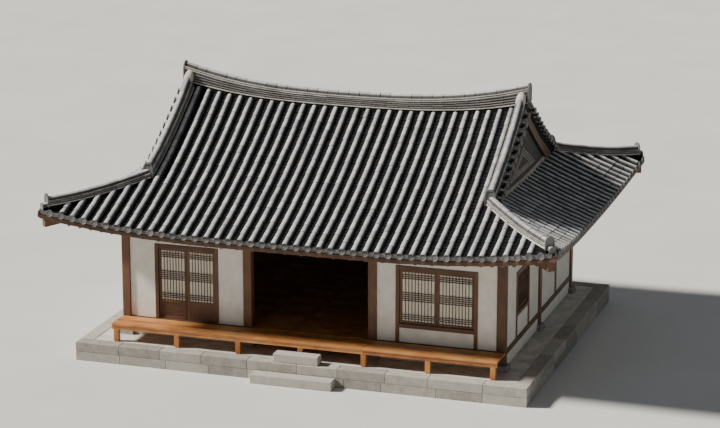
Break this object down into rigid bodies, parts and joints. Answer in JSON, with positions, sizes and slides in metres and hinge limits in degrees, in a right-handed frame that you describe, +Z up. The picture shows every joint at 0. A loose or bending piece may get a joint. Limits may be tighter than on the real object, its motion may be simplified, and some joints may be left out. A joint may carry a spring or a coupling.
{
  "type": "hanok house",
  "caption": "Timber house with an open hall, rooms and porch on a stone platform, under a hip-and-gable roof of curved clay tiles with stacked tile ridges.",
  "frame": {"origin": "on the ground, under the middle of the house", "axes": "+X along the main ridge to the right, +Y to the back, +Z up; the front with the porch faces -Y"},
  "size_m": [12.4004, 9.66, 6.533],
  "materials": {
    "roof_tile": "unglazed charcoal-grey fired clay",
    "timber": "dark oiled pine, weathered",
    "floorboards": "worn orange-brown pine",
    "plaster": "matt white lime plaster",
    "gable_brick": "grey brick with pale joints",
    "granite": "rough-dressed pale granite",
    "paper_panel": "white paper behind a timber lattice"
  },
  "bodies": {
    "root": {"roof_slope_front": "roof_tile", "roof_slope_back": "roof_tile", "roof_slope_left": "roof_tile", "roof_slope_right": "roof_tile", "main_ridge": "roof_tile", "verge_ridge_front_left": "roof_tile", "verge_ridge_front_right": "roof_tile", "verge_ridge_back_left": "roof_tile", "verge_ridge_back_right": "roof_tile", "hip_ridge_front_left": "roof_tile", "hip_ridge_front_right": "roof_tile", "hip_ridge_back_left": "roof_tile", "hip_ridge_back_right": "roof_tile", "eave_rafters_front": "timber", "eave_rafters_back": "timber", "eave_rafters_left": "timber", "eave_rafters_right": "timber", "head_beam_front": "timber", "head_beam_back": "timber", "head_beam_left": "timber", "head_beam_right": "timber", "roof_frame_left": "timber", "roof_frame_right": "timber", "mid_purlin_front": "timber", "mid_purlin_back": "timber", "ridge_purlin": "timber", "barge_board_left": "timber", "barge_board_right": "timber", "gable_wall_left": "gable_brick", "gable_wall_right": "gable_brick", "stone_platform": "granite", "front_step": "granite", "stepping_stone": "granite", "column_front_1": "timber", "column_front_2": "timber", "column_front_3": "timber", "column_front_4": "timber", "column_back_1": "timber", "column_back_2": "timber", "column_back_3": "timber", "column_back_4": "timber", "column_left_middle": "timber", "column_right_middle": "timber", "timber_floor": "floorboards", "front_porch": "floorboards", "wall_front_left": "plaster", "wall_front_right": "plaster", "wall_back_left": "plaster", "wall_back_middle": "plaster", "wall_back_right": "plaster", "wall_left_front": "plaster", "wall_left_back": "plaster", "wall_right_front": "plaster", "wall_right_back": "plaster", "door_front_left": "paper_panel", "window_front_right": "paper_panel", "window_left_front": "paper_panel", "window_right_front": "paper_panel", "shutter_back_middle": "timber"}
  },
  "joints": []
}
